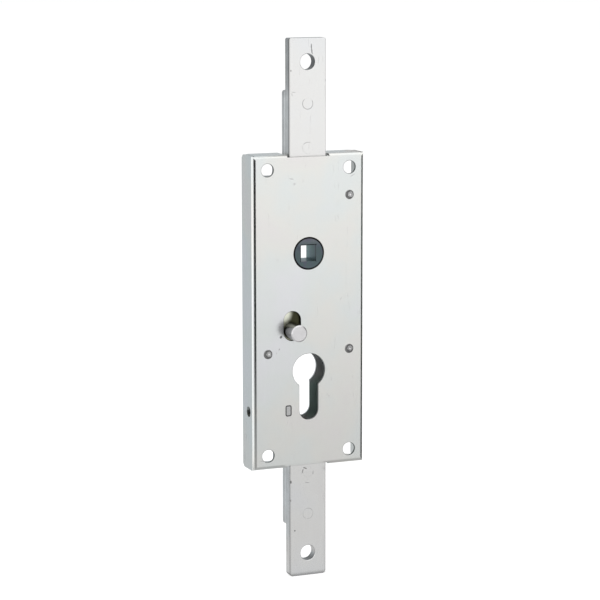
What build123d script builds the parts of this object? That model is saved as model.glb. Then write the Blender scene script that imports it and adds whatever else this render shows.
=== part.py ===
from build123d import *
from math import acos, cos, pi, radians, sin, sqrt, tan
import os

os.makedirs("parts", exist_ok=True)

# Rod lock for a door: a folded case with a spindle hub that drives two flat rods, one up
# and one down, and a lock slide that a profile cylinder and a snib pin move.
# X is to the right, Y into the door, Z up. The origin is the spindle's axis in the
# plate's front face. The rods are stored thrown, as they stand in a shut door.

# Case and cover
case_width = 60.2
case_depth = 14.0
sheet = 1.25
bend_radius = 2.3
seam_gap = 0.35
flange_corner_cut = 1.6
rod_notch_width = 22.5
punch_break = 0.2
cover_thickness = 1.0
cover_edge_gap = 0.3
cover_corner_width = 14.2
cover_corner_height = 12.5
cover_corner_radius = 5.0
fixing_edge_x = 8.2
fixing_edge_z = 7.15
fixing_hole_diameter = 6.5

# Clearances
layer_gap = 0.15
press_gap = 0.01
running_gap = 0.08
side_gap = 0.2
clear_gap = 0.4
overrun = 2.0

# Rods
rod_width = 19.6
tip_bar_thickness = 5.2
slider_thickness = 4.5
tip_bar_length = 61.5
tip_bar_seat = 4.5
lap_length = 35.7
link_width = 5.55
head_width = 3.7
upper_end_radius = 1.0
lower_end_radius = 1.8
bar_edge_round = 0.4
rod_hole_diameter = 7.95
rod_hole_inset = 11.75
outer_rivet_margin = 6.4
inner_rivet_margin = 7.6
rivet_body_diameter = 4.6
rivet_head_diameter = 5.8

# Hub and rack drive
hub_diameter = 16.0
hub_length = 13.7
hub_flat_width = 13.6
spindle_square = 8.1
square_chamfer = 0.5
hub_edge_chamfer = 0.25
tooth_count = 16
tooth_module = 1.5
pressure_angle = 20.0
tooth_tip_height = 1.3
tooth_root_depth = 1.6
mesh_backlash = 0.24
hub_turn = 90.0
locking_disc_diameter = 29.0

# Lock slide, snib pin and cylinder
slot_x = -8.9
slot_width = 9.05
slot_low_rise = 20.35
slot_high_rise = 26.05
pin_diameter = 8.4
pin_rise = 20.8
pin_protrusion = 9.6
pin_end_chamfer = 0.6
pin_shank_diameter = 5.0
lock_travel = 5.2
lock_slide_thickness = 3.5
tongue_width = 6.0
tongue_gap = 0.5
bridge_top_rise = 33.2
bridge_width = 17.4
slide_corner_radius = 1.5
guide_web = 2.7
cylinder_drop = 59.2
cylinder_circle = 17.4
cylinder_leg = 10.15
cylinder_height = 33.6
cam_notch_height = 11.5
cam_lug_height = 4.8
cam_lug_reach = 3.2
column_tail = 0.6

# Posts, cover screws and cylinder screw block
post_edge = 8.2
upper_post_height = 28.4
middle_post_rise = 9.7
post_diameter = 6.0
post_shoulder_diameter = 9.0
stake_diameter = 4.4
stake_break = 0.2
screw_core_diameter = 3.3
screw_length = 7.0
screw_head_diameter = 7.0
screw_head_height = 1.5
screw_recess_width = 0.9
screw_recess_length = 3.8
screw_recess_depth = 0.9
block_x = -11.0
block_fall = 19.7
block_width = 9.7
block_height = 8.0
tenon_width = 3.3
tenon_length = 5.65
tenon_corner_radius = 1.0
cylinder_screw_hole = 5.2
cylinder_screw_depth = 5.9

# Toggle spring
wire_diameter = 1.0
spring_depth = 7.6
spring_edge = 2.65
spring_hole_inset = 2.2
spring_moving_fall = 4.3
spring_leg = 6.5

# Depths and sides that follow from the sizes
half_width = case_width / 2
inner_side = half_width - sheet
tip_front = sheet + layer_gap
slider_front = tip_front + tip_bar_thickness
slider_back = slider_front + slider_thickness
cover_front = slider_back + layer_gap
cover_back = cover_front + cover_thickness
pitch_radius = tooth_module * tooth_count / 2
tip_radius = pitch_radius + tooth_tip_height
root_radius = pitch_radius - tooth_root_depth
tooth_pitch = pi * tooth_module
rod_travel = pitch_radius * radians(hub_turn)
disc_back = slider_front - side_gap
disc_radius = locking_disc_diameter / 2
slide_front = tip_front
slide_back = slide_front + lock_slide_thickness
slide_outer = half_width - bend_radius - side_gap
fixing_x = half_width - fixing_edge_x
fixing_clear = fixing_hole_diameter / 2 + clear_gap
post_side = half_width - post_edge
cam_clear = post_side - post_diameter / 2 - side_gap - guide_web
column_inner = -cam_clear
spring_fixed_x = spring_edge - inner_side
spring_moving_x = column_inner - spring_hole_inset
block_inner = block_x + block_width / 2

# Heights: the lock slide's pieces stand from the cylinder, and the case closes round the
# drawn-in sliders, above over the fixing holes and below under the cylinder's leg
cylinder_z = -cylinder_drop
leg_end_z = cylinder_z + cylinder_circle / 2 - cylinder_height + cylinder_leg / 2
leg_bottom = leg_end_z - cylinder_leg / 2
slot_low = cylinder_z + slot_low_rise
slot_high = cylinder_z + slot_high_rise
pin_rest = cylinder_z + pin_rise
bridge_top = cylinder_z + bridge_top_rise
middle_post_z = cylinder_z + middle_post_rise
block_z = cylinder_z - block_fall
spring_moving_z = cylinder_z - spring_moving_fall
slider_foot = tip_radius + rod_travel + 2 * clear_gap
lower_head = leg_bottom - rod_travel - clear_gap
case_top = slider_foot + link_width + fixing_clear + fixing_edge_z
case_bottom = lower_head - head_width - sheet
case_height = case_top - case_bottom
half_height = case_height / 2
middle = (case_top + case_bottom) / 2
fixing_rise = half_height - fixing_edge_z
rod_reach = half_height - tip_bar_seat + tip_bar_length
slider_reach = half_height - tip_bar_seat + lap_length
outer_rivet_inset = tip_bar_length - lap_length + outer_rivet_margin
inner_rivet_inset = tip_bar_length - inner_rivet_margin


def into(depth):
    """The plane that looks out of the door, at a depth behind the plate's front face."""
    return Plane.XZ.offset(-depth)


def round_steps(x, z, steps):
    """Add round steps on one axis along Y, each given as front, back and radius."""
    for front, back, radius in steps:
        with BuildSketch(into(front)) as step:
            with Locations((x, z)):
                Circle(radius)
        extrude(step.sketch, amount=front - back)


def cut_through(front, back, sketch):
    """Cut a finished sketch out of the part from one depth to another."""
    with BuildSketch(into(front)) as section:
        add(sketch)
    extrude(section.sketch, amount=front - back, mode=Mode.SUBTRACT)


def save(part, name):
    """Label a finished piece and write it as its own node."""
    part.label = name
    export_step(part, f"parts/{name}.step")


# Openings that the plate and the cover share

with BuildSketch() as cylinder_opening:
    with Locations((0, cylinder_z)):
        Circle(cylinder_circle / 2)
    with Locations((0, (cylinder_z + leg_end_z) / 2)):
        Rectangle(cylinder_leg, cylinder_z - leg_end_z)
    with Locations((0, leg_end_z)):
        Circle(cylinder_leg / 2)

with BuildSketch() as hub_opening:
    Circle(hub_diameter / 2 + running_gap)

with BuildSketch() as fixing_holes:
    with Locations((0, middle)):
        with GridLocations(2 * fixing_x, 2 * fixing_rise, 2, 2):
            Circle(fixing_hole_diameter / 2)

with BuildSketch() as pin_slot:
    with Locations((slot_x, (slot_low + slot_high) / 2)):
        SlotCenterToCenter(slot_high - slot_low, slot_width, rotation=90)

post_places = {
    "upper_right": (post_side, upper_post_height),
    "middle_left": (-post_side, middle_post_z),
    "middle_right": (post_side, middle_post_z),
}

# Case tray: one folded sheet, open at the back, with a notch in the top and the bottom
# flange for the rods and a parted seam at each corner

with BuildPart() as case_tray:
    with BuildSketch(into(0)):
        with Locations((0, middle)):
            Rectangle(case_width, case_height)
    extrude(amount=-case_depth)
    fillet(case_tray.faces().sort_by(Axis.Y)[0].edges(), bend_radius)
    with BuildSketch(into(sheet)):
        with Locations((0, middle)):
            Rectangle(case_width - 2 * sheet, case_height - 2 * sheet)
    extrude(amount=-case_depth, mode=Mode.SUBTRACT)
    with BuildSketch(into(-overrun)):
        with Locations((0, middle)):
            with GridLocations(0, case_height, 1, 2):
                Rectangle(rod_notch_width, 2 * sheet)
    extrude(amount=-(case_depth + 2 * overrun), mode=Mode.SUBTRACT)
    floor_face = case_tray.faces().filter_by(Axis.Y).sort_by(Axis.Y)[1]
    fold_edges = floor_face.edges().filter_by(lambda edge: abs(edge.center().X) > rod_notch_width / 2)
    fillet(fold_edges, bend_radius - sheet)
    with BuildSketch(into(bend_radius - sheet)):
        with Locations((0, middle)):
            with GridLocations(2 * inner_side - seam_gap, case_height - sheet, 2, 2):
                Rectangle(seam_gap, 2 * sheet)
    extrude(amount=-case_depth, mode=Mode.SUBTRACT)
    rim_corners = case_tray.edges().filter_by(Axis.Z)
    rim_corners = rim_corners.filter_by(lambda edge: edge.center().Y > case_depth - press_gap)
    rim_corners = rim_corners.filter_by(lambda edge: abs(edge.center().X) < inner_side - press_gap)
    rim_corners = rim_corners.filter_by(lambda edge: abs(edge.center().X) > rod_notch_width / 2 + sheet)
    chamfer(rim_corners, flange_corner_cut)
    side_ends = case_tray.edges().filter_by(Axis.X)
    side_ends = side_ends.filter_by(lambda edge: edge.center().Y > case_depth - press_gap)
    side_ends = side_ends.filter_by(lambda edge: abs(edge.center().X) > inner_side)
    chamfer(side_ends, flange_corner_cut)
    cut_through(-overrun, case_depth, fixing_holes.sketch)
    cut_through(-overrun, case_depth, cylinder_opening.sketch)
    cut_through(-overrun, case_depth, pin_slot.sketch)
    cut_through(-overrun, case_depth, hub_opening.sketch)
    punched = case_tray.faces().sort_by(Axis.Y)[0].inner_wires()
    chamfer([edge for wire in punched for edge in wire.edges()], punch_break)
    with BuildSketch(into(-overrun)):
        with Locations(*post_places.values()):
            Circle(stake_diameter / 2 + press_gap)
        with Locations((block_x, block_z)):
            RectangleRounded(
                tenon_width + 2 * press_gap, tenon_length + 2 * press_gap, tenon_corner_radius + press_gap
            )
    extrude(amount=-case_depth, mode=Mode.SUBTRACT)
    with BuildSketch(Plane.YZ.offset(-half_width - overrun)):
        with Locations((cylinder_screw_depth, block_z)):
            Circle(cylinder_screw_hole / 2)
    extrude(amount=overrun + half_width - inner_side + sheet, mode=Mode.SUBTRACT)

save(case_tray.part, "case_tray")

# Back cover: a flat plate that rests on the posts inside the flanges and leaves the four
# fixing holes clear

with BuildPart() as back_cover:
    with BuildSketch(into(cover_front)) as cover_outline:
        with Locations((0, middle)):
            Rectangle(2 * (inner_side - cover_edge_gap), case_height - 2 * (sheet + cover_edge_gap))
            with GridLocations(2 * inner_side, case_height - 2 * sheet, 2, 2):
                Rectangle(2 * cover_corner_width, 2 * cover_corner_height, mode=Mode.SUBTRACT)
        step_reach = inner_side - cover_corner_width + cover_edge_gap
        inner_corners = cover_outline.vertices().filter_by(lambda corner: abs(corner.X) < step_reach)
        step_height = half_height - sheet - cover_corner_height + cover_edge_gap
        inner_corners = inner_corners.filter_by(lambda corner: abs(corner.Y - middle) < step_height)
        fillet(inner_corners, cover_corner_radius)
    extrude(amount=-cover_thickness)
    cut_through(cover_front - overrun, cover_back + overrun, cylinder_opening.sketch)
    cut_through(cover_front - overrun, cover_back + overrun, hub_opening.sketch)
    with BuildSketch(into(cover_front)):
        with Locations(*post_places.values()):
            Circle(screw_core_diameter / 2 + side_gap)
        with Locations((spring_fixed_x, spring_moving_z + lock_travel / 2)):
            Circle(wire_diameter / 2 + press_gap)
    extrude(amount=-cover_thickness, mode=Mode.SUBTRACT)

save(back_cover.part, "back_cover")

# Spacer posts, staked in the plate and tapped for the cover screws. The right-hand ones
# are wide in front and carry the lower slider; the left-hand one is wide behind and
# keeps the lock slide down.

post_shoulders = {
    "upper_right": (sheet, slider_front - side_gap),
    "middle_left": (slide_back + side_gap, cover_front),
    "middle_right": (sheet, slider_front - side_gap),
}

for place, (post_x, post_z) in post_places.items():
    shoulder_front, shoulder_back = post_shoulders[place]
    with BuildPart() as spacer_post:
        round_steps(post_x, post_z, [(0, sheet, stake_diameter / 2)])
        stake_rim = spacer_post.faces().sort_by(Axis.Y)[0].edges()
        chamfer(stake_rim, stake_break)
        round_steps(post_x, post_z, [
            (sheet, cover_front, post_diameter / 2),
            (shoulder_front, shoulder_back, post_shoulder_diameter / 2),
        ])
        with BuildSketch(into(cover_front)):
            with Locations((post_x, post_z)):
                Circle(screw_core_diameter / 2 + press_gap)
        extrude(amount=screw_length, mode=Mode.SUBTRACT)
    save(spacer_post.part, f"spacer_post_{place}")

    with BuildPart() as cover_screw:
        round_steps(post_x, post_z, [
            (cover_front - screw_length + clear_gap, cover_back, screw_core_diameter / 2),
            (cover_back, cover_back + screw_head_height, screw_head_diameter / 2),
        ])
        head_rim = cover_screw.faces().sort_by(Axis.Y)[-1].edges()
        chamfer(head_rim, screw_head_height / 3)
        with BuildSketch(into(cover_back + screw_head_height)):
            with Locations((post_x, post_z)):
                Rectangle(screw_recess_length, screw_recess_width)
                Rectangle(screw_recess_width, screw_recess_length)
        extrude(amount=screw_recess_depth, mode=Mode.SUBTRACT)
    save(cover_screw.part, f"cover_screw_{place}")

# Cylinder screw block: guides the screw that holds the profile cylinder, and is staked
# in the plate by a long tenon

with BuildPart() as screw_block:
    with BuildSketch(into(0)):
        with Locations((block_x, block_z)):
            RectangleRounded(tenon_width, tenon_length, tenon_corner_radius)
    extrude(amount=-sheet)
    chamfer(screw_block.faces().sort_by(Axis.Y)[0].edges(), stake_break)
    with BuildSketch(into(sheet)):
        with Locations((block_x, block_z)):
            RectangleRounded(block_width, block_height, punch_break)
    extrude(amount=sheet - cover_front)
    with BuildSketch(Plane.YZ.offset(block_inner + overrun)):
        with Locations((cylinder_screw_depth, block_z)):
            Circle(cylinder_screw_hole / 2)
    extrude(amount=-(block_width + 2 * overrun), mode=Mode.SUBTRACT)

save(screw_block.part, "cylinder_screw_block")

# Spindle hub: round collars that turn in the plate and the cover, a flatted middle that
# carries the disc and the pinion, and a square hole for the handle's spindle

with BuildSketch() as hub_core:
    Circle(hub_diameter / 2)
    Rectangle(hub_flat_width, hub_flat_width, mode=Mode.INTERSECT)

with BuildSketch() as hub_seat:
    Circle(hub_diameter / 2 + press_gap)
    Rectangle(hub_flat_width + 2 * press_gap, hub_flat_width + 2 * press_gap, mode=Mode.INTERSECT)

with BuildPart() as spindle_hub:
    round_steps(0, 0, [
        (0, tip_front, hub_diameter / 2),
        (slider_back, hub_length, hub_diameter / 2),
    ])
    with BuildSketch(into(tip_front)):
        add(hub_core.sketch)
    extrude(amount=tip_front - slider_back)
    hub_ends = spindle_hub.faces().filter_by(Axis.Y).sort_by(Axis.Y)
    chamfer(hub_ends[0].edges() + hub_ends[-1].edges(), hub_edge_chamfer)
    with BuildSketch(into(-overrun)):
        Rectangle(spindle_square, spindle_square)
    extrude(amount=-(hub_length + 2 * overrun), mode=Mode.SUBTRACT)
    hub_ends = spindle_hub.faces().filter_by(Axis.Y).sort_by(Axis.Y)
    square_rims = hub_ends[0].inner_wires()[0].edges() + hub_ends[-1].inner_wires()[0].edges()
    chamfer(square_rims, square_chamfer)

save(spindle_hub.part, "spindle_hub")

# Locking disc: the lock slide's tongue drops into the lower notch with the rods thrown,
# and into the other one, a quarter turn away, with the rods drawn in

notch_floor = disc_radius + tongue_gap - lock_travel - clear_gap

with BuildPart() as locking_disc:
    round_steps(0, 0, [(tip_front, disc_back, disc_radius)])
    cut_through(tip_front, disc_back, hub_seat.sketch)
    notch_reach = disc_radius + overrun - notch_floor
    with BuildSketch(into(tip_front)):
        with PolarLocations(notch_floor + notch_reach / 2, 2, start_angle=180, angular_range=180):
            Rectangle(notch_reach, tongue_width + 2 * side_gap)
    extrude(amount=tip_front - disc_back, mode=Mode.SUBTRACT)

save(locking_disc.part, "locking_disc")

# Pinion: involute teeth, each flank a curve through points worked out at even radii.
# Below the base circle the flank runs on straight to the root.

base_radius = pitch_radius * cos(radians(pressure_angle))


def involute(angle):
    """The involute function of a pressure angle in radians."""
    return tan(angle) - angle


def tooth_half_angle(radius):
    """Half the angle that a pinion tooth fills at a radius."""
    at_pitch = (tooth_pitch - mesh_backlash) / (4 * pitch_radius)
    return at_pitch + involute(radians(pressure_angle)) - involute(acos(base_radius / radius))


def on_tooth(radius, side):
    """A point on a tooth's flank, on one side of the X axis."""
    angle = side * tooth_half_angle(radius)
    return (radius * cos(angle), radius * sin(angle))


flank_radii = [base_radius + (tip_radius - base_radius) * step / 6 for step in range(7)]
foot_angle = tooth_half_angle(base_radius)
foot_radius = root_radius - tooth_root_depth / 4
upper_foot = (foot_radius * cos(foot_angle), foot_radius * sin(foot_angle))
lower_foot = (upper_foot[0], -upper_foot[1])

with BuildSketch() as pinion_tooth:
    with BuildLine():
        Line(lower_foot, on_tooth(base_radius, -1))
        Spline(*[on_tooth(radius, -1) for radius in flank_radii])
        ThreePointArc(on_tooth(tip_radius, -1), (tip_radius, 0), on_tooth(tip_radius, 1))
        Spline(*[on_tooth(radius, 1) for radius in reversed(flank_radii)])
        Line(on_tooth(base_radius, 1), upper_foot)
        Line(upper_foot, lower_foot)
    make_face()

with BuildPart() as pinion:
    with BuildSketch(into(disc_back)):
        Circle(root_radius)
        with PolarLocations(0, tooth_count):
            add(pinion_tooth.sketch)
    extrude(amount=disc_back - slider_back)
    cut_through(disc_back, slider_back, hub_seat.sketch)

save(pinion.part, "pinion")

# Rods: each is a slider, which runs inside the case and has a rack on one arm, with a
# tip bar riveted to its outer end

rack_flare = tan(radians(pressure_angle))
rack_crest = pitch_radius - tooth_tip_height
rack_root = pitch_radius + tooth_root_depth
rack_gap_half = (tooth_pitch + mesh_backlash) / 4
rack_gaps = round(hub_turn / 360 * tooth_count) + 3
rack_end = (rack_gaps - 2) * tooth_pitch + tooth_pitch / 2

with BuildSketch() as rack_gap:
    mouth_half = rack_gap_half + (tooth_tip_height + clear_gap) * rack_flare
    root_half = rack_gap_half - tooth_root_depth * rack_flare
    with BuildLine():
        Polyline(
            (rack_crest - clear_gap, -mouth_half),
            (rack_root, -root_half),
            (rack_root, root_half),
            (rack_crest - clear_gap, mouth_half),
            close=True,
        )
    make_face()


def rivet_holes(front, back, head_side, insets, outward):
    """Cut the rivet holes of one bar, flared on the side where the heads lie."""
    for inset in insets:
        z = middle + outward * (rod_reach - inset)
        with BuildSketch(into(front)) as hole:
            with Locations((0, z)):
                Circle(rivet_body_diameter / 2 + press_gap)
        extrude(hole.sketch, amount=front - back, mode=Mode.SUBTRACT)
        flare = (rivet_head_diameter - rivet_body_diameter) / 2
        with BuildSketch(Plane.XY.offset(z)) as seat:
            with BuildLine():
                Polyline(
                    (0, head_side[0]),
                    (rivet_head_diameter / 2 + press_gap, head_side[0]),
                    (rivet_body_diameter / 2 + press_gap, head_side[0] + head_side[1] * flare),
                    (0, head_side[0] + head_side[1] * flare),
                    close=True,
                )
            make_face()
        revolve(seat.sketch, axis=Axis((0, 0, z), (0, 1, 0)), mode=Mode.SUBTRACT)


arm_outer = inner_side - clear_gap
rod_half = rod_width / 2
lower_neck = fixing_x - fixing_clear
upper_neck = (rod_half + lower_neck) / 2
neck_radius = (upper_neck - rod_half) / 3
upper_fixing_z = middle + fixing_rise
lower_fixing_z = middle - fixing_rise
inner_top = middle + half_height - sheet
inner_bottom = middle - half_height + sheet
slider_top = middle + slider_reach
slider_bottom = middle - slider_reach
arm_inner = rack_root + clear_gap
leg_clear = cylinder_leg / 2 + 2 * clear_gap
drawn_cam_z = cylinder_z - rod_travel
cam_shoulder = drawn_cam_z - sqrt(cam_clear ** 2 - leg_clear ** 2) - clear_gap
cam_flank = drawn_cam_z - cam_clear / 2
rivet_insets = [outer_rivet_inset, inner_rivet_inset]

with BuildPart() as upper_slider:
    with BuildSketch(into(slider_front)):
        with BuildLine():
            outline = [
                (rod_half, slider_top),
                (rod_half, slider_foot),
                (-arm_inner, slider_foot),
                (-arm_inner, rack_end),
                (-rack_crest, rack_end),
                (-rack_crest, -tooth_pitch),
                (-arm_outer, -tooth_pitch),
                (-arm_outer, upper_fixing_z - fixing_clear),
                (-upper_neck, upper_fixing_z - fixing_clear),
                (-upper_neck, inner_top - 2 * clear_gap),
                (-rod_half, inner_top - 2 * clear_gap),
                (-rod_half, slider_top),
            ]
            Polyline(*outline, close=True)
        make_face()
        for step in range(rack_gaps):
            with Locations(Location((0, (step - 1) * tooth_pitch), 180)):
                add(rack_gap.sketch, mode=Mode.SUBTRACT)
    extrude(amount=-slider_thickness)
    upright = upper_slider.edges().filter_by(Axis.Y)
    soft = upright.filter_by(lambda edge: edge.center().Z > upper_fixing_z - 2 * fixing_clear)
    fillet(soft, neck_radius)
    rivet_holes(slider_front, slider_back, (slider_back, -1), rivet_insets, 1)

save(upper_slider.part, "upper_slider")

with BuildPart() as lower_slider:
    with BuildSketch(into(slider_front)):
        with BuildLine():
            outline = [
                (-rod_half, slider_bottom),
                (rod_half, slider_bottom),
                (rod_half, inner_bottom + 2 * clear_gap),
                (lower_neck, inner_bottom + 2 * clear_gap),
                (lower_neck, lower_fixing_z + fixing_clear),
                (arm_outer, lower_fixing_z + fixing_clear),
                (arm_outer, tooth_pitch),
                (rack_crest, tooth_pitch),
                (rack_crest, -rack_end),
                (cam_clear, -rack_end),
                (cam_clear, cam_flank),
                (leg_clear, cam_shoulder),
                (leg_clear, lower_head),
                (-rod_half, lower_head),
            ]
            Polyline(*outline, close=True)
        make_face()
        for step in range(rack_gaps):
            with Locations((0, (1 - step) * tooth_pitch)):
                add(rack_gap.sketch, mode=Mode.SUBTRACT)
        with Locations((post_side, middle_post_z - rod_travel / 2)):
            SlotCenterToCenter(
                rod_travel + 2 * side_gap, post_diameter + 2 * side_gap, rotation=90, mode=Mode.SUBTRACT
            )
    extrude(amount=-slider_thickness)
    upright = lower_slider.edges().filter_by(Axis.Y)
    soft = upright.filter_by(lambda edge: edge.center().Z < lower_fixing_z + 2 * fixing_clear)
    fillet(soft, neck_radius)
    rivet_holes(slider_front, slider_back, (slider_back, -1), rivet_insets, -1)

save(lower_slider.part, "lower_slider")

for name, outward, end_radius in (("upper", 1, upper_end_radius), ("lower", -1, lower_end_radius)):
    outer_end = middle + outward * rod_reach
    inner_end = outer_end - outward * tip_bar_length
    with BuildPart() as tip_bar:
        with BuildSketch(into(tip_front)):
            with Locations((0, (outer_end + inner_end) / 2)):
                Rectangle(rod_width, tip_bar_length)
            with Locations((0, outer_end - outward * rod_hole_inset)):
                Circle(rod_hole_diameter / 2, mode=Mode.SUBTRACT)
        extrude(amount=-tip_bar_thickness)
        fillet(tip_bar.edges().filter_by(Axis.Y).sort_by(Axis.Z)[-2:], end_radius)
        fillet(tip_bar.edges().filter_by(Axis.Y).sort_by(Axis.Z)[:2], end_radius)
        front_rim = tip_bar.faces().sort_by(Axis.Y)[0].outer_wire().edges()
        fillet(front_rim, bar_edge_round)
        hole_rims = tip_bar.faces().sort_by(Axis.Y)[0].inner_wires()
        chamfer([edge for wire in hole_rims for edge in wire.edges()], punch_break)
        rivet_holes(tip_front, slider_front, (tip_front, 1), rivet_insets, outward)
    save(tip_bar.part, f"{name}_tip_bar")

    for place, inset in (("outer", outer_rivet_inset), ("inner", inner_rivet_inset)):
        rivet_z = middle + outward * (rod_reach - inset)
        head = (rivet_head_diameter - rivet_body_diameter) / 2
        with BuildPart() as rivet:
            with BuildSketch(Plane.XY.offset(rivet_z)):
                with BuildLine():
                    Polyline(
                        (0, tip_front),
                        (rivet_head_diameter / 2, tip_front),
                        (rivet_body_diameter / 2, tip_front + head),
                        (rivet_body_diameter / 2, slider_back - head),
                        (rivet_head_diameter / 2, slider_back),
                        (0, slider_back),
                        close=True,
                    )
                make_face()
            revolve(axis=Axis((0, 0, rivet_z), (0, 1, 0)))
        save(rivet.part, f"{name}_{place}_rivet")

# Lock slide: a stamped plate with a guide slot over the left-hand post, two lugs that
# the cylinder's cam runs between, the pin's hole and the tongue for the disc

notch_middle = cylinder_z - lock_travel / 2
notch_top = notch_middle + cam_notch_height / 2
notch_bottom = notch_middle - cam_notch_height / 2
lug_tip = column_inner + cam_lug_reach
bridge_bottom = bridge_top - bridge_width
tongue_tip = -disc_radius - tongue_gap
column_end = notch_bottom - cam_lug_height - column_tail

with BuildPart() as lock_slide:
    with BuildSketch(into(slide_front)):
        with BuildLine():
            outline = [
                (-slide_outer, bridge_top),
                (-tongue_width / 2, bridge_top),
                (-tongue_width / 2, tongue_tip),
                (tongue_width / 2, tongue_tip),
                (tongue_width / 2, bridge_bottom),
                (column_inner, bridge_bottom),
                (column_inner, notch_top + cam_lug_height),
                (lug_tip, notch_top + cam_lug_height),
                (lug_tip, notch_top),
                (column_inner, notch_top),
                (column_inner, notch_bottom),
                (lug_tip, notch_bottom),
                (lug_tip, notch_bottom - cam_lug_height),
                (column_inner, column_end),
                (-slide_outer, column_end),
            ]
            Polyline(*outline, close=True)
        make_face()
        with Locations((-post_side, middle_post_z - lock_travel / 2)):
            SlotCenterToCenter(
                lock_travel + 2 * side_gap, post_diameter + 2 * side_gap, rotation=90, mode=Mode.SUBTRACT
            )
        with Locations((slot_x, pin_rest)):
            Circle(pin_shank_diameter / 2 + press_gap, mode=Mode.SUBTRACT)
        with Locations((spring_moving_x, spring_moving_z)):
            Circle(wire_diameter / 2 + running_gap, mode=Mode.SUBTRACT)
    extrude(amount=-lock_slide_thickness)
    corners = lock_slide.edges().filter_by(Axis.Y).filter_by(GeomType.LINE)
    outer_corners = corners.filter_by(lambda edge: edge.center().X < -slide_outer + side_gap)
    tongue_corners = corners.filter_by(lambda edge: edge.center().Z > tongue_tip - side_gap)
    fillet(outer_corners, slide_corner_radius)
    chamfer(tongue_corners, tongue_width / 8)

save(lock_slide.part, "lock_slide")

# Snib pin: stands out of the short slot and is riveted into the lock slide

with BuildPart() as snib_pin:
    round_steps(slot_x, pin_rest, [(-pin_protrusion, slide_front, pin_diameter / 2)])
    chamfer(snib_pin.faces().sort_by(Axis.Y)[0].edges(), pin_end_chamfer)
    round_steps(slot_x, pin_rest, [(slide_front, slide_back, pin_shank_diameter / 2)])

save(snib_pin.part, "snib_pin")

# Toggle spring: a wire hairpin behind the lock slide. One end stands in the cover and the
# other in the slide, level with each other half way through the slide's travel, so the
# hairpin pushes the slide to whichever end of its travel is nearer.

wire_radius = wire_diameter / 2
fixed_end_z = spring_moving_z + lock_travel / 2
bend_z = spring_moving_z - spring_leg
bend_middle = (spring_fixed_x + spring_moving_x) / 2
bend_reach = (spring_moving_x - spring_fixed_x) / 2

with BuildPart() as toggle_spring:
    with BuildLine(into(spring_depth)) as hairpin:
        Line((spring_fixed_x, fixed_end_z), (spring_fixed_x, bend_z))
        ThreePointArc(
            (spring_fixed_x, bend_z), (bend_middle, bend_z - bend_reach), (spring_moving_x, bend_z)
        )
        Line((spring_moving_x, bend_z), (spring_moving_x, spring_moving_z))
    with BuildSketch(Plane.XY.offset(fixed_end_z)):
        with Locations((spring_fixed_x, spring_depth)):
            Circle(wire_radius)
    sweep(path=hairpin.wires()[0])
    round_steps(spring_fixed_x, fixed_end_z, [(spring_depth, cover_back, wire_radius)])
    round_steps(spring_moving_x, spring_moving_z, [(slide_front + side_gap, spring_depth, wire_radius)])
    with Locations((spring_fixed_x, spring_depth, fixed_end_z), (spring_moving_x, spring_depth, spring_moving_z)):
        Sphere(wire_radius)

save(toggle_spring.part, "toggle_spring")
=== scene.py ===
import math

import bmesh
import bpy
from mathutils import Matrix, Vector


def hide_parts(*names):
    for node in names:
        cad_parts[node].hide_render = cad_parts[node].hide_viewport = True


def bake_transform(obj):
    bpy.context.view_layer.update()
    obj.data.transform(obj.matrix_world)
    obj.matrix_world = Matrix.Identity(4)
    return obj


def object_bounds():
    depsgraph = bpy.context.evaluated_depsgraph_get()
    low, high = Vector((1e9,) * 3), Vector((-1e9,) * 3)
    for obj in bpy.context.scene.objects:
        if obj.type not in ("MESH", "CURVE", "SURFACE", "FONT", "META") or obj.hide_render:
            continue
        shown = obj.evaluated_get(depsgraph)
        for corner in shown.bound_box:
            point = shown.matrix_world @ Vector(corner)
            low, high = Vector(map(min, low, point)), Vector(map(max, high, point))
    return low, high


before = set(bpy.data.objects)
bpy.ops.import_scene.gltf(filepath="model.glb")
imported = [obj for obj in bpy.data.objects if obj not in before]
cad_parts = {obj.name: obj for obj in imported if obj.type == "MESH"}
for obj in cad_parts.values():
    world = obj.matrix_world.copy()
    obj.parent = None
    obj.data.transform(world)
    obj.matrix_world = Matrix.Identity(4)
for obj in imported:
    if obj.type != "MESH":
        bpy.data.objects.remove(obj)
cad_low, cad_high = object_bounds()
MM = 0.001

# Case tray and back cover. The tray is one piece of zinc-plated sheet, folded up on four
# sides, with the rolling grain running up it. The cover is plainer galvanised sheet.


def place(tree, kind, **values):
    """Add a node and set its inputs and properties by name."""
    node = tree.nodes.new(kind)
    for key, value in values.items():
        if key in node.inputs:
            node.inputs[key].default_value = value
        else:
            setattr(node, key, value)
    return node


def ramp(tree, source, stops, interpolation="LINEAR"):
    """A colour ramp fed by a socket, from stops of position and colour."""
    node = tree.nodes.new("ShaderNodeValToRGB")
    node.color_ramp.interpolation = interpolation
    elements = node.color_ramp.elements
    while len(elements) < len(stops):
        elements.new(1.0)
    for element, (position, colour) in zip(elements, stops):
        element.position = position
        element.color = (*colour, 1.0) if len(colour) == 3 else colour
    tree.links.new(source, node.inputs["Fac"])
    return node.outputs["Color"]


def grey(value):
    """A neutral colour of one value."""
    return (value, value, value)


def math_node(tree, operation, first, second=None, third=None):
    """One maths step on sockets or numbers."""
    node = tree.nodes.new("ShaderNodeMath")
    node.operation = operation
    for socket, value in zip(node.inputs, (first, second, third)):
        if value is None:
            continue
        if isinstance(value, (int, float)):
            socket.default_value = value
        else:
            tree.links.new(value, socket)
    return node.outputs[0]


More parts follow.
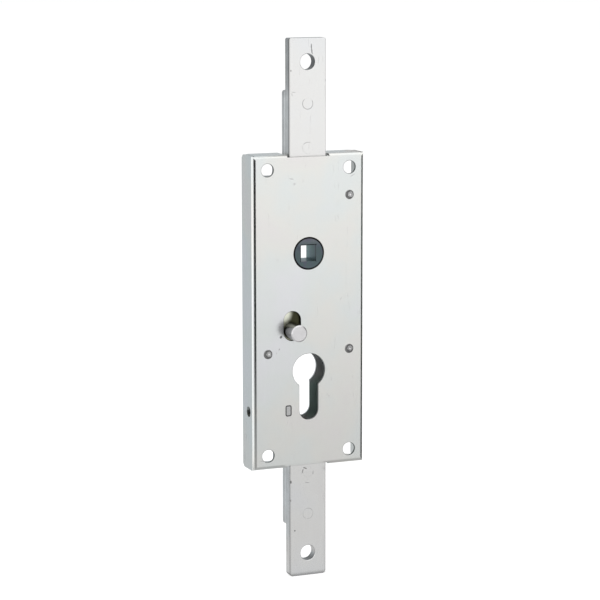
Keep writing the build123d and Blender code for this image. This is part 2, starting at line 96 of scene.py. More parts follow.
def mix_colour(tree, blend, factor, first, second):
    """Blend two colours, the factor being a socket or a number."""
    node = tree.nodes.new("ShaderNodeMix")
    node.data_type = "RGBA"
    node.blend_type = blend
    for index, value in ((0, factor), (6, first), (7, second)):
        if isinstance(value, bpy.types.NodeSocket):
            tree.links.new(value, node.inputs[index])
        elif isinstance(value, tuple):
            node.inputs[index].default_value = (*value, 1.0)
        else:
            node.inputs[index].default_value = value
    return node.outputs[2]


SCRATCH_TURN = (0.5, 0.9, 0.3)
SCRATCH_STRETCH = (420.0, 420.0, 30.0)
SCRATCH_TONE = 0.42
OCCLUSION_REACH = 1.2 * MM


def plated_metal(name, tints, roughness, cloud_size, grain, scratches=0.5, occlusion_shade=0.45, extra=None,
                 metallic=1.0):
    """Plated steel: cloudy tints, a fine directional grain, thin scratches, and painted shade darkening
    joints and recesses.
    """
    material = bpy.data.materials.new(name)
    material.use_nodes = True
    tree = material.node_tree
    shader = tree.nodes["Principled BSDF"]
    shader.inputs["Metallic"].default_value = metallic
    coords = place(tree, "ShaderNodeTexCoord").outputs["Object"]

    clouds = place(tree, "ShaderNodeTexNoise", Scale=1 / cloud_size, Detail=3.0, Roughness=0.45)
    tree.links.new(coords, clouds.inputs["Vector"])
    share = 1.0 / (len(tints) - 1)
    spread = [(0.32 + 0.36 * share * index, tint) for index, tint in enumerate(tints)]
    colour = ramp(tree, clouds.outputs["Fac"], spread)

    stretch = place(tree, "ShaderNodeMapping", Scale=tuple(1 / size for size in grain))
    tree.links.new(coords, stretch.inputs["Vector"])
    fibres = place(tree, "ShaderNodeTexNoise", Scale=1.0, Detail=4.0, Roughness=0.6)
    tree.links.new(stretch.outputs["Vector"], fibres.inputs["Vector"])
    streaks = ramp(tree, fibres.outputs["Fac"], [(0.3, grey(0.978)), (0.7, grey(1.0))])
    colour = mix_colour(tree, "MULTIPLY", 1.0, colour, streaks)

    turned = place(tree, "ShaderNodeMapping", Rotation=SCRATCH_TURN, Scale=SCRATCH_STRETCH)
    tree.links.new(coords, turned.inputs["Vector"])
    lines = place(tree, "ShaderNodeTexVoronoi", feature="DISTANCE_TO_EDGE", Scale=0.22)
    tree.links.new(turned.outputs["Vector"], lines.inputs["Vector"])
    thin = ramp(tree, lines.outputs["Distance"], [(0.0, grey(1.0)), (0.012, grey(0.0))])
    where = place(tree, "ShaderNodeTexNoise", Scale=160.0, Detail=1.0)
    tree.links.new(coords, where.inputs["Vector"])
    some = ramp(tree, where.outputs["Fac"], [(0.55, grey(0.0)), (0.64, grey(1.0))])
    scratch = math_node(tree, "MULTIPLY", thin, some)
    scratch = math_node(tree, "MULTIPLY", scratch, scratches)
    colour = mix_colour(tree, "MIX", scratch, colour, grey(SCRATCH_TONE))

    # Painted shade: ambient occlusion darkens the colour in joints, corners and recesses.
    corners = place(tree, "ShaderNodeAmbientOcclusion", Distance=OCCLUSION_REACH, samples=6)
    painted_occlusion_shade = ramp(tree, corners.outputs["AO"], [(0.25, grey(1.0 - occlusion_shade)), (0.9, grey(1.0))])
    colour = mix_colour(tree, "MULTIPLY", 1.0, colour, painted_occlusion_shade)
    if extra:
        colour = extra(tree, coords, colour)
    tree.links.new(colour, shader.inputs["Base Color"])

    rough = place(tree, "ShaderNodeMapRange")
    tree.links.new(fibres.outputs["Fac"], rough.inputs["Value"])
    rough.inputs["To Min"].default_value = roughness - 0.05
    rough.inputs["To Max"].default_value = roughness + 0.06
    tree.links.new(math_node(tree, "MULTIPLY_ADD", scratch, 0.3, rough.outputs["Result"]),
                   shader.inputs["Roughness"])

    bump = place(tree, "ShaderNodeBump", Strength=0.08, Distance=0.02 * MM)
    tree.links.new(fibres.outputs["Fac"], bump.inputs["Height"])
    tree.links.new(bump.outputs["Normal"], shader.inputs["Normal"])
    return material


def finish_node(node, material):
    """Give one CAD node its finish."""
    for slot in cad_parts[node].material_slots:
        slot.material = material


# A half size so long that its direction doesn't count.
ANY = 1000.0


def reach_from(tree, coords, middle, half_size, tilt=0.0, wobble=0.0):
    """Distance from a place on the piece, 1 at the edge of an oval of the given half size."""
    if wobble:
        noise = place(tree, "ShaderNodeTexNoise", Scale=1100.0, Detail=2.0)
        tree.links.new(coords, noise.inputs["Vector"])
        centred = place(tree, "ShaderNodeVectorMath", operation="SUBTRACT")
        tree.links.new(noise.outputs["Color"], centred.inputs[0])
        centred.inputs[1].default_value = (0.5, 0.5, 0.5)
        small = place(tree, "ShaderNodeVectorMath", operation="SCALE", Scale=wobble)
        tree.links.new(centred.outputs["Vector"], small.inputs[0])
        moved = place(tree, "ShaderNodeVectorMath", operation="ADD")
        tree.links.new(coords, moved.inputs[0])
        tree.links.new(small.outputs["Vector"], moved.inputs[1])
        coords = moved.outputs["Vector"]
    local = place(tree, "ShaderNodeMapping", vector_type="TEXTURE", Location=[v * MM for v in middle],
                  Rotation=(0.0, tilt, 0.0), Scale=[v * MM for v in half_size])
    tree.links.new(coords, local.inputs["Vector"])
    length = place(tree, "ShaderNodeVectorMath", operation="LENGTH")
    tree.links.new(local.outputs["Vector"], length.inputs[0])
    return length.outputs["Value"]


RAGGED_EDGE = 0.5 * MM


def dab(tree, coords, colour, tone, middle, half_size, tilt, strength):
    """A small nick, scratch or scuff with a ragged, soft edge."""
    reach = reach_from(tree, coords, middle, half_size, tilt, wobble=RAGGED_EDGE)
    share = ramp(tree, reach, [(0.55, grey(strength)), (1.0, grey(0.0))])
    return mix_colour(tree, "MIX", share, colour, grey(tone))


def facing_sideways(tree, limit=0.65):
    """1 on edges and hole walls, 0 on faces that look forward or back by more than the limit."""
    split = place(tree, "ShaderNodeSeparateXYZ")
    tree.links.new(place(tree, "ShaderNodeNewGeometry").outputs["Normal"], split.inputs["Vector"])
    flat = math_node(tree, "ABSOLUTE", split.outputs["Y"])
    return ramp(tree, flat, [(limit - 0.15, grey(1.0)), (limit, grey(0.0))])


def ramp_along(tree, coords, axis, start, end, stops):
    """A tone that changes along one axis, from one place on it to another."""
    split = place(tree, "ShaderNodeSeparateXYZ")
    tree.links.new(coords, split.inputs["Vector"])
    along = place(tree, "ShaderNodeMapRange")
    tree.links.new(split.outputs[axis], along.inputs["Value"])
    along.inputs["From Min"].default_value = start * MM
    along.inputs["From Max"].default_value = end * MM
    return ramp(tree, along.outputs["Result"], stops)


def depth_ramp(tree, coords, front, back, stops):
    """A tone that changes through the thickness, from the front face to the back."""
    return ramp_along(tree, coords, "Y", front, back, stops)


def height_ramp(tree, coords, bottom, top, stops):
    """A tone that changes with the height."""
    return ramp_along(tree, coords, "Z", bottom, top, stops)


TRAY_SHEET = 1.25
LAYER_GAP = 0.15
BEHIND_TRAY = TRAY_SHEET + LAYER_GAP
TRAY_DEPTH = 14.0
TRAY_MIDDLE = -29.5
TRAY_BOTTOM = -108.3
TRAY_TOP = 49.3
PUNCHED_HALF_SIZE = (27.0, 75.5)
POCKET_HALF_SIZE = (29.4, 78.1)
HOLE_WALL_LIMIT = 0.95
STAKED_SPOTS = ((21.9, 28.4), (21.9, -49.5), (-21.9, -49.5))
PUSHED_UP_REACH = 2.55
# Each nick or scuff: tone, middle, half size, tilt.
TRAY_NICKS = (
    (0.07, (-14.95, 0.0, -41.2), (0.75, 0.9, 0.95), 0.5),
    (0.45, (-15.9, 0.0, -47.4), (0.35, 0.9, 0.60), 0.6),
    (0.55, (-17.4, 0.0, -49.1), (0.30, 0.9, 0.40), 0.0),
    (0.60, (-9.3, 0.0, 37.5), (1.6, 0.9, 0.35), 0.2),
    (0.66, (-7.7, 0.0, 34.9), (0.8, 0.9, 0.9), 0.0),
    (0.60, (23.6, 0.0, 38.0), (1.9, 0.9, 0.30), -0.5),
    (0.66, (-24.2, 0.0, -103.6), (3.0, 0.9, 0.40), 0.1),
)


def within(tree, coords, half_width, half_height):
    """1 inside an upright rectangle about the tray's middle, else 0."""
    masks = []
    for half_size in ((half_width, ANY, ANY), (ANY, ANY, half_height)):
        away = reach_from(tree, coords, (0.0, 0.0, TRAY_MIDDLE), half_size)
        masks.append(ramp(tree, away, [(0.995, grey(1.0)), (1.0, grey(0.0))]))
    return math_node(tree, "MULTIPLY", *masks)


def tray_marks(tree, coords, colour):
    """Nicks and scuffs, metal pushed up by staking, hole walls with painted shade, and painted shade on the
    tray's inner walls.
    """
    for nick in TRAY_NICKS:
        colour = dab(tree, coords, colour, *nick, strength=0.8)
    for across, height in STAKED_SPOTS:
        half_size = (PUSHED_UP_REACH, 1.0, PUSHED_UP_REACH)
        reach = reach_from(tree, coords, (across, 0.0, height), half_size, wobble=0.7 * MM)
        pushed = ramp(tree, reach, [(0.80, grey(0.85)), (1.0, grey(0.0))])
        colour = mix_colour(tree, "MIX", pushed, colour, grey(0.30))
    inside = within(tree, coords, *PUNCHED_HALF_SIZE)
    # Hole walls: lighter at the front edge, then painted shade darkening them towards the back.
    hole_wall_shade = depth_ramp(tree, coords, 0.0, BEHIND_TRAY, [
        (0.0, grey(0.62)), (0.16, (0.125, 0.135, 0.130)), (1.0, (0.056, 0.067, 0.062))])
    wall = math_node(tree, "MULTIPLY", facing_sideways(tree, HOLE_WALL_LIMIT), inside)
    colour = mix_colour(tree, "MULTIPLY", wall, colour, hole_wall_shade)
    # Painted shade on the tray's inner walls behind the front sheet, darker towards the top.
    pocket = within(tree, coords, *POCKET_HALF_SIZE)
    behind = depth_ramp(tree, coords, 0.0, TRAY_DEPTH, [(0.10, grey(0.0)), (0.11, grey(1.0))])
    pocket = math_node(tree, "MULTIPLY", math_node(tree, "MULTIPLY", pocket, behind), facing_sideways(tree))
    painted_shade = height_ramp(tree, coords, TRAY_BOTTOM, TRAY_TOP, [(0.2, grey(1.02)), (0.7, grey(0.72))])
    return mix_colour(tree, "MULTIPLY", pocket, colour, painted_shade)


COVER_FRONT = 11.25
COVER_BACK = 12.25
INNER_SHADE_MIDDLE = (8.0, COVER_FRONT, -76.5)
INNER_SHADE_HALF_SIZE = (9.0, ANY, 13.0)


def painted_shade_inside_cover(tree, coords, colour):
    """The cover's inner face gets painted shade, darker and greener, beside the cylinder's leg."""
    # Painted shade, tinted green, on the inner face beside the leg.
    inner = depth_ramp(tree, coords, COVER_FRONT, COVER_BACK, [(0.2, grey(1.0)), (0.3, grey(0.0))])
    reach = reach_from(tree, coords, INNER_SHADE_MIDDLE, INNER_SHADE_HALF_SIZE)
    beside = math_node(tree, "MULTIPLY", inner, ramp(tree, reach, [(0.6, grey(1.0)), (1.0, grey(0.0))]))
    return mix_colour(tree, "MULTIPLY", beside, colour, (0.60, 0.76, 0.70))


ROLLED_GRAIN = (0.5 * MM, 0.5 * MM, 9.0 * MM)
zinc_sheet = plated_metal(
    "zinc_sheet_finish",
    [(0.83, 0.81, 0.80), (0.83, 0.83, 0.80), (0.80, 0.83, 0.82), (0.82, 0.83, 0.85)],
    roughness=0.22, cloud_size=34 * MM, grain=ROLLED_GRAIN, scratches=0.25, extra=tray_marks,
)
galvanised_sheet = plated_metal(
    "galvanised_sheet_finish",
    [(0.62, 0.64, 0.66), (0.70, 0.71, 0.71), (0.66, 0.67, 0.68)],
    roughness=0.34, cloud_size=9 * MM, grain=ROLLED_GRAIN, scratches=0.6, occlusion_shade=0.1,
    extra=painted_shade_inside_cover, metallic=0.85,
)
finish_node("case_tray", zinc_sheet)
finish_node("back_cover", galvanised_sheet)

# Sliders and tip bars: flat drawn bars, zinc-plated after punching, so the grain runs
# along them and their corners are soft.

BAR_FRONT = BEHIND_TRAY
BAR_BACK = 11.1
BAR_HALF_WIDTH = 9.8
BAR_BOTTOM = -170.0
BAR_TOP = 110.0
ROD_HOLE_RADIUS = 4.0
ROD_HOLE_REACH = 4.3
# Each rod hole: height, and the tones of painted shade low and high on its wall.
ROD_HOLES = ((94.55, 0.30, 0.32), (-153.55, 0.36, 0.95))
RIVET_RING = 2.9
RIVET_RING_TONE = 0.30
# Each rivet: height, and how strongly its ring shows.
RIVET_RINGS = ((74.1, 0.75), (52.4, 0.55), (-111.4, 0.75), (-133.1, 0.45))
# Each knock or scratch: tone, middle, half size, tilt.
BAR_KNOCKS = (
    (0.06, (1.95, BAR_FRONT, 102.0), (0.28, 0.9, 1.7), -0.04),
    (0.10, (2.25, BAR_FRONT, 99.7), (0.32, 0.9, 1.8), -0.14),
    (0.50, (-7.4, BAR_FRONT, 79.9), (1.2, 0.9, 0.22), 0.0),
    (0.50, (-8.3, BAR_FRONT, 78.7), (0.22, 0.9, 1.0), 0.0),
    (0.32, (-8.9, BAR_FRONT, 90.4), (0.4, 0.9, 0.5), 0.0),
    (0.40, (9.4, BAR_FRONT, 85.4), (0.35, 0.9, 0.5), 0.0),
    (0.12, (-1.6, BAR_FRONT, -109.4), (1.3, 0.9, 0.35), 0.4),
    (0.30, (-2.9, BAR_FRONT, -110.9), (0.35, 0.9, 1.4), 0.3),
    (0.38, (2.8, BAR_FRONT, -112.2), (0.25, 0.9, 1.1), 0.1),
    (0.50, (-0.4, BAR_FRONT, -117.0), (1.6, 0.9, 0.25), 0.1),
    (0.16, (-9.3, BAR_FRONT, -116.0), (0.55, 0.9, 1.0), 0.0),
    (0.36, (-9.4, BAR_FRONT, -125.6), (0.35, 0.9, 0.9), 0.0),
    (0.14, (-7.2, BAR_FRONT, -141.4), (0.55, 0.9, 0.45), 0.0),
)


def bar_marks(tree, coords, colour):
    """Sheared edges with painted shade and highlight in bands across them, painted shade along the long
    rims and in the rod holes, edges darker near the top, the rings round the rivets, and the knocks of
    handling.
    """
    # Painted bands across the edges, front to back: a dark front edge, a dark line where the two bars meet,
    # and a painted highlight on the back bar's front edge.
    painted_edge_bands = depth_ramp(tree, coords, BAR_FRONT, BAR_BACK, [
        (0.0, grey(0.36)), (0.08, grey(0.34)), (0.15, grey(0.90)), (0.46, grey(0.92)),
        (0.52, grey(0.66)), (0.56, grey(1.18)), (0.64, grey(1.18)), (0.75, grey(0.78)), (1.0, grey(0.96))])
    patches = place(tree, "ShaderNodeTexNoise", Scale=150.0, Detail=3.0)
    tree.links.new(coords, patches.inputs["Vector"])
    rough_cut = ramp(tree, patches.outputs["Fac"], [(0.35, grey(0.82)), (0.65, grey(1.0))])
    edge = facing_sideways(tree)
    # Painted shade along the rolled long edges of the front faces.
    rim = ramp(tree, reach_from(tree, coords, (0.0, BAR_FRONT, 0.0), (BAR_HALF_WIDTH, ANY, ANY)),
               [(0.945, grey(1.0)), (0.968, grey(0.74)), (1.0, grey(0.68))])
    colour = mix_colour(tree, "MULTIPLY", math_node(tree, "SUBTRACT", 1.0, edge), colour, rim)
    # The edges are darker near the top end of the bars.
    darker_near_top = height_ramp(tree, coords, BAR_BOTTOM, BAR_TOP, [
        (0.0, grey(1.0)), (0.88, grey(1.0)), (0.91, grey(0.68)), (1.0, grey(0.62))])
    colour = mix_colour(tree, "MULTIPLY", edge, colour, darker_near_top)
    # The painted edge bands are weaker lower down.
    edge_band_strength = height_ramp(tree, coords, BAR_BOTTOM, BAR_TOP, [(0.25, grey(0.45)), (0.5, grey(1.0))])
    colour = mix_colour(tree, "MULTIPLY", math_node(tree, "MULTIPLY", edge, edge_band_strength), colour, painted_edge_bands)
    colour = mix_colour(tree, "MULTIPLY", edge, colour, rough_cut)
    # Painted shade on the walls of the rod holes, darker low down in the lower hole, over the torn texture
    # of the cut.
    for height, low_tone, high_tone in ROD_HOLES:
        reach = reach_from(tree, coords, (0.0, BAR_FRONT, height), (ROD_HOLE_REACH, ANY, ROD_HOLE_REACH))
        bore = math_node(tree, "MULTIPLY", edge, ramp(tree, reach, [(0.99, grey(1.0)), (1.0, grey(0.0))]))
        walls = height_ramp(tree, coords, height - ROD_HOLE_RADIUS, height + ROD_HOLE_RADIUS,
                            [(0.10, grey(low_tone)), (0.40, grey(high_tone))])
        hole_wall_shade = mix_colour(tree, "MULTIPLY", 1.0, rough_cut, walls)
        colour = mix_colour(tree, "MULTIPLY", bore, colour, hole_wall_shade)
    for height, strength in RIVET_RINGS:
        reach = reach_from(tree, coords, (0.0, BAR_FRONT, height), (RIVET_RING, 3.0, RIVET_RING),
                           wobble=0.12 * MM)
        line = ramp(tree, reach, [(0.84, grey(0.0)), (0.93, grey(strength)), (0.99, grey(strength)),
                                  (1.0, grey(0.0))])
        broken = ramp(tree, patches.outputs["Fac"], [(0.46, grey(0.05)), (0.57, grey(1.0))])
        ring = math_node(tree, "MULTIPLY", line, broken)
        colour = mix_colour(tree, "MIX", ring, colour, grey(RIVET_RING_TONE))
    for knock in BAR_KNOCKS:
        colour = dab(tree, coords, colour, *knock, strength=0.9)
    return colour


zinc_bar = plated_metal(
    "zinc_bar_finish",
    [(0.83, 0.82, 0.81), (0.84, 0.84, 0.83), (0.82, 0.83, 0.84)],
    roughness=0.24, cloud_size=30 * MM, grain=ROLLED_GRAIN, scratches=0.3, extra=bar_marks,
)
for node in ("upper_slider", "lower_slider", "upper_tip_bar", "lower_tip_bar"):
    finish_node(node, zinc_bar)

# Rivets: steel, with countersunk heads hammered flush with the bars and plated with them,
# so that only a fine ring shows round each.

RIVET_EDGE = 0.22 * MM
for side in ("upper", "lower"):
    for row in ("outer", "inner"):
        rivet = f"{side}_{row}_rivet"
        finish_node(rivet, zinc_bar)
        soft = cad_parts[rivet].modifiers.new("hammered_edge", "BEVEL")
        soft.width = RIVET_EDGE
        soft.segments = 2
        soft.limit_method = "ANGLE"

# Posts, screw block and cover screws: turned and milled steel. The posts' front ends are
# staked over in the plate, which leaves a rough, darker spot on each.

STAKE_RADIUS = 2.25
STAKE_REACH = 1.3 * STAKE_RADIUS
STAKE_OFFSET = (0.5, 0.1)


def staked_ends(tree, coords, colour):
    """The dark, upset ring and brighter middle that the staking punch leaves."""
    for across, height in STAKED_SPOTS:
        middle = (across + STAKE_OFFSET[0], 0.0, height + STAKE_OFFSET[1])
        reach = reach_from(tree, coords, middle, (STAKE_REACH, 3.0, STAKE_REACH), wobble=1.8 * MM)
        rings = ramp(tree, reach, [(0.0, grey(0.90)), (0.14, grey(0.80)), (0.24, grey(0.20)),
                                   (0.36, grey(0.62)), (0.48, grey(0.20)), (0.62, grey(0.12)),
                                   (0.78, grey(0.24))])
        near = ramp(tree, reach, [(0.95, grey(1.0)), (1.0, grey(0.0))])
        colour = mix_colour(tree, "MIX", near, colour, rings)
    return colour


TURNED_GRAIN = (0.6 * MM, 0.6 * MM, 0.6 * MM)
turned_steel = plated_metal(
    "turned_steel_finish",
    [(0.40, 0.40, 0.39), (0.62, 0.62, 0.60), (0.48, 0.48, 0.46)],
    roughness=0.36, cloud_size=1.3 * MM, grain=TURNED_GRAIN, scratches=0.5, occlusion_shade=0.7,
    extra=staked_ends,
)
screw_steel = plated_metal(
    "cover_screw_finish",
    [(0.68, 0.68, 0.66), (0.74, 0.74, 0.73)],
    roughness=0.26, cloud_size=4 * MM, grain=TURNED_GRAIN, scratches=0.3, occlusion_shade=0.7,
)
for spot in ("upper_right", "middle_left", "middle_right"):
    finish_node(f"spacer_post_{spot}", turned_steel)
    finish_node(f"cover_screw_{spot}", screw_steel)

TENON_MIDDLE = (-11.0, -78.9)
TENON_STRAIGHT = (0.65, 1.825)
TENON_CORNER = 1.0


def staked_tenon(tree, coords, colour):
    """The block's tenon, spread over in the plate: a dark seam round a bright land."""
    split = place(tree, "ShaderNodeSeparateXYZ")
    tree.links.new(coords, split.inputs["Vector"])
    squares = []
    for axis, centre, straight in zip("XZ", TENON_MIDDLE, TENON_STRAIGHT):
        away = math_node(tree, "SUBTRACT", split.outputs[axis], centre * MM)
        away = math_node(tree, "SUBTRACT", math_node(tree, "ABSOLUTE", away), straight * MM)
        away = math_node(tree, "MAXIMUM", away, 0.0)
        squares.append(math_node(tree, "MULTIPLY", away, away))
    reach = math_node(tree, "SQRT", math_node(tree, "ADD", *squares))
    reach = math_node(tree, "DIVIDE", reach, TENON_CORNER * MM)
    seam = ramp(tree, reach, [(0.0, grey(0.56)), (0.22, grey(0.62)), (0.42, grey(0.24)),
                              (0.70, grey(0.12)), (1.0, grey(0.13))])
    front = depth_ramp(tree, coords, 0.0, BEHIND_TRAY, [(0.3, grey(1.0)), (0.9, grey(0.0))])
    return mix_colour(tree, "MIX", front, colour, seam)


block_steel = plated_metal(
    "screw_block_finish",
    [(0.76, 0.76, 0.75), (0.80, 0.80, 0.79)],
    roughness=0.26, cloud_size=4 * MM, grain=TURNED_GRAIN, scratches=0.4, extra=staked_tenon,
)
finish_node("cylinder_screw_block", block_steel)

# Spindle hub, locking disc and pinion: hardened steel, blued dark, with a faint green tint on the
# machined faces and a painted violet sheen towards the top.

HUB_RADIUS = 8.0
HUB_LENGTH = 13.7
SQUARE_REACH = 6.0
GAP_SHADE_BLACK = 0.012


def hub_tints_and_painted_light(tree, coords, colour):
    """Painted violet sheen at the top of the collar, greener below, painted shadow black at its rim,
    painted light in the square.
    """
    # Painted sheen: lighter and violet towards the top, greener lower down.
    painted_top_sheen = height_ramp(tree, coords, -HUB_RADIUS, HUB_RADIUS, [
        (0.0, (1.05, 1.12, 1.10)), (0.25, (0.92, 1.02, 1.0)), (0.7, (0.95, 1.0, 1.0)),
        (1.0, (1.70, 1.45, 1.50))])
    colour = mix_colour(tree, "MULTIPLY", 1.0, colour, painted_top_sheen)
    # Painted light on the walls of the square: dark at its front edge, brighter towards the back.
    painted_square_light = depth_ramp(tree, coords, 0.0, HUB_LENGTH, [
        (0.0, grey(0.30)), (0.08, grey(0.40)), (0.13, (1.1, 1.2, 1.15)), (0.45, (1.3, 1.5, 1.4)),
        (0.85, (2.2, 2.4, 2.2))])
    near = ramp(tree, reach_from(tree, coords, (0.0, 0.0, 0.0), (SQUARE_REACH, ANY, SQUARE_REACH)),
                [(0.98, grey(1.0)), (1.0, grey(0.0))])
    walls = math_node(tree, "MULTIPLY", near, facing_sideways(tree))
    colour = mix_colour(tree, "MULTIPLY", walls, colour, painted_square_light)
    # Painted shadow: black in the gap round the collar's rim.
    reach = reach_from(tree, coords, (0.0, 0.0, 0.0), (HUB_RADIUS, 30.0, HUB_RADIUS))
    rim = ramp(tree, reach, [(0.90, grey(0.0)), (0.95, grey(1.0)), (0.999, grey(1.0)), (1.0, grey(0.0))])
    return mix_colour(tree, "MIX", rim, colour, grey(GAP_SHADE_BLACK))


blued_steel = plated_metal(
    "blued_steel_finish",
    [(0.085, 0.095, 0.120), (0.105, 0.125, 0.145), (0.100, 0.130, 0.135), (0.115, 0.115, 0.150)],
    roughness=0.30, cloud_size=5 * MM, grain=TURNED_GRAIN, scratches=0.2, occlusion_shade=0.6,
    extra=hub_tints_and_painted_light,
)
for node in ("spindle_hub", "locking_disc", "pinion"):
    finish_node(node, blued_steel)

# Lock slide: stamped steel with a yellow passivated coat. The snib pin riveted into it is
# bright turned steel, and the hairpin spring behind it is drawn wire.

PIN_MIDDLE = (-8.9, -38.4)
PIN_END = -9.6
SLOT_SHADE_MIDDLE = (PIN_MIDDLE[0] + 2.6, BEHIND_TRAY, PIN_MIDDLE[1] + 5.0)
SLOT_SHADE_HALF_SIZE = (6.4, 30.0, 13.0)
PALE_SHEEN_MIDDLE = (PIN_MIDDLE[0] - 4.9, BEHIND_TRAY, PIN_MIDDLE[1] + 9.0)
PALE_SHEEN_HALF_SIZE = (6.5, 30.0, 7.2)
PIN_RIM_MIDDLE = (PIN_MIDDLE[0] - 0.5, PIN_END, PIN_MIDDLE[1] + 0.4)
PIN_RIM_HALF_SIZE = (4.7, 30.0, 4.7)
PIN_SIDE_LIMIT = 0.45


def painted_shade_behind_slot(tree, coords, colour):
    """Painted shade on the slide's face behind its slot, with a painted pale reflection along the left
    side.
    """
    # Painted shade: a dark olive patch where the slide lies deep behind the slot.
    reach = reach_from(tree, coords, SLOT_SHADE_MIDDLE, SLOT_SHADE_HALF_SIZE, wobble=0.8 * MM)
    painted_shade = ramp(tree, reach, [(0.62, grey(1.0)), (0.95, grey(0.0))])
    dark = mix_colour(tree, "MULTIPLY", 1.0, colour, (0.11, 0.11, 0.085))
    colour = mix_colour(tree, "MIX", painted_shade, colour, dark)
    # Painted reflection: a pale patch along the left side of the slot.
    sheen_reach = reach_from(tree, coords, PALE_SHEEN_MIDDLE, PALE_SHEEN_HALF_SIZE, wobble=0.6 * MM)
    painted_light_and_shade = ramp(tree, sheen_reach, [(0.52, grey(0.98)), (0.64, grey(0.66)), (0.74, grey(0.36)),
                                (0.84, grey(0.12)), (0.95, grey(0.0))])
    return mix_colour(tree, "MIX", painted_light_and_shade, colour, (0.94, 0.96, 0.82))


def pin_rim(tree, coords, colour):
    """The pin's end is bright, with painted shade on one side of its edge; its sides get painted shade,
    darkest by the plate.
    """
    reach = reach_from(tree, coords, PIN_RIM_MIDDLE, PIN_RIM_HALF_SIZE)
    # Painted shade: the end's edge darker on its right side.
    rim = ramp(tree, reach, [(0.84, grey(1.0)), (0.90, grey(0.86)), (0.94, grey(1.0)), (1.0, grey(0.55))])
    colour = mix_colour(tree, "MULTIPLY", 1.0, colour, rim)
    # Painted shade on the pin's sides, darkest next to the plate.
    painted_light_and_shade = depth_ramp(tree, coords, PIN_END, 0.0, [
        (0.04, grey(0.50)), (0.35, grey(0.28)), (0.75, grey(0.13)), (1.0, grey(0.08))])
    return mix_colour(tree, "MULTIPLY", facing_sideways(tree, PIN_SIDE_LIMIT), colour, painted_light_and_shade)


yellow_passivated = plated_metal(
    "yellow_passivated_finish",
    [(0.40, 0.40, 0.27), (0.50, 0.50, 0.37), (0.46, 0.45, 0.33)],
    roughness=0.32, cloud_size=8 * MM, grain=ROLLED_GRAIN, scratches=0.4, extra=painted_shade_behind_slot,
)
bright_pin = plated_metal(
    "bright_pin_finish",
    [(0.74, 0.73, 0.74), (0.80, 0.79, 0.80)],
    roughness=0.24, cloud_size=3 * MM, grain=TURNED_GRAIN, scratches=0.4, extra=pin_rim,
)
drawn_wire = plated_metal(
    "drawn_wire_finish",
    [(0.52, 0.52, 0.53), (0.60, 0.60, 0.61)],
    roughness=0.25, cloud_size=3 * MM, grain=(0.3 * MM, 0.3 * MM, 3 * MM), scratches=0.3,
)
finish_node("lock_slide", yellow_passivated)
finish_node("snib_pin", bright_pin)
finish_node("toggle_spring", drawn_wire)

resting_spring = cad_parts["toggle_spring"]
hairpin = bpy.data.objects.new("flexing_hairpin", resting_spring.data.copy())
hairpin.matrix_world = resting_spring.matrix_world.copy()
bpy.context.scene.collection.objects.link(hairpin)
for wire_slot in hairpin.material_slots:
    wire_slot.material = drawn_wire
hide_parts("toggle_spring")
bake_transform(hairpin)

# Studio: a pale floor that carries the shadow, a white surround, two soft lamps, and cards
# that only reflections see, as a photographer sets round bright metal.

FLOOR_RADIUS = 9.0
FLOOR_COLOUR = 0.86
FLOOR_LIFT = 0.50
floor_z = cad_low.z


def disc(radius):
    """A flat disc that lies level."""
    shape = bmesh.new()
    bmesh.ops.create_circle(shape, cap_ends=True, segments=96, radius=radius)
    return shape


shape = disc(FLOOR_RADIUS)
floor_mesh = bpy.data.meshes.new("studio_floor")
shape.to_mesh(floor_mesh)
shape.free()
studio_floor = bpy.data.objects.new("studio_floor", floor_mesh)
studio_floor.location.z = floor_z
bpy.context.scene.collection.objects.link(studio_floor)


def seen_directly(tree):
    """1 for rays from the camera, a reflection or a clear surface, else 0."""
    path = place(tree, "ShaderNodeLightPath")
    seen = math_node(tree, "MAXIMUM", path.outputs["Is Camera Ray"], path.outputs["Is Glossy Ray"])
    return math_node(tree, "MAXIMUM", seen, path.outputs["Is Transmission Ray"])


floor_paint = bpy.data.materials.new("floor_paint")
floor_paint.use_nodes = True
tree = floor_paint.node_tree
paint = tree.nodes["Principled BSDF"]
paint.inputs["Roughness"].default_value = 0.9
paint.inputs["Specular IOR Level"].default_value = 0.0
paint.inputs["Emission Color"].default_value = (1.0, 1.0, 1.0, 1.0)
mottle = place(tree, "ShaderNodeTexNoise", Scale=14.0, Detail=3.0)
tree.links.new(place(tree, "ShaderNodeTexCoord").outputs["Object"], mottle.inputs["Vector"])
floor_tone = ramp(tree, mottle.outputs["Fac"],
                  [(0.3, grey(FLOOR_COLOUR - 0.01)), (0.7, grey(FLOOR_COLOUR + 0.01))])
tree.links.new(floor_tone, paint.inputs["Base Color"])
tree.links.new(math_node(tree, "MULTIPLY", seen_directly(tree), FLOOR_LIFT),
               paint.inputs["Emission Strength"])
floor_mesh.materials.append(floor_paint)

SURROUND_FILL = 0.62
world = bpy.data.worlds.new("studio_surround")
bpy.context.scene.world = world
world.use_nodes = True
tree = world.node_tree
surround = tree.nodes["Background"]
surround.inputs["Color"].default_value = (1.0, 1.0, 1.0, 1.0)
strength = math_node(tree, "MULTIPLY_ADD", seen_directly(tree), 1.0 - SURROUND_FILL, SURROUND_FILL)
tree.links.new(strength, surround.inputs["Strength"])


def aim(thing, at):
    """Turn a lamp, card or camera so that it looks at a point."""
    way = at - thing.location
    thing.rotation_euler = way.to_track_quat("-Z", "Y").to_euler()


def soft_lamp(name, location, width, height, power, at):
    """A rectangular soft lamp aimed at a point."""
    lamp = bpy.data.lights.new(name, "AREA")
    lamp.shape = "RECTANGLE"
    lamp.size, lamp.size_y = width, height
    lamp.energy = power
    thing = bpy.data.objects.new(name, lamp)
    thing.location = location
    thing.visible_glossy = False
    bpy.context.scene.collection.objects.link(thing)
    aim(thing, at)


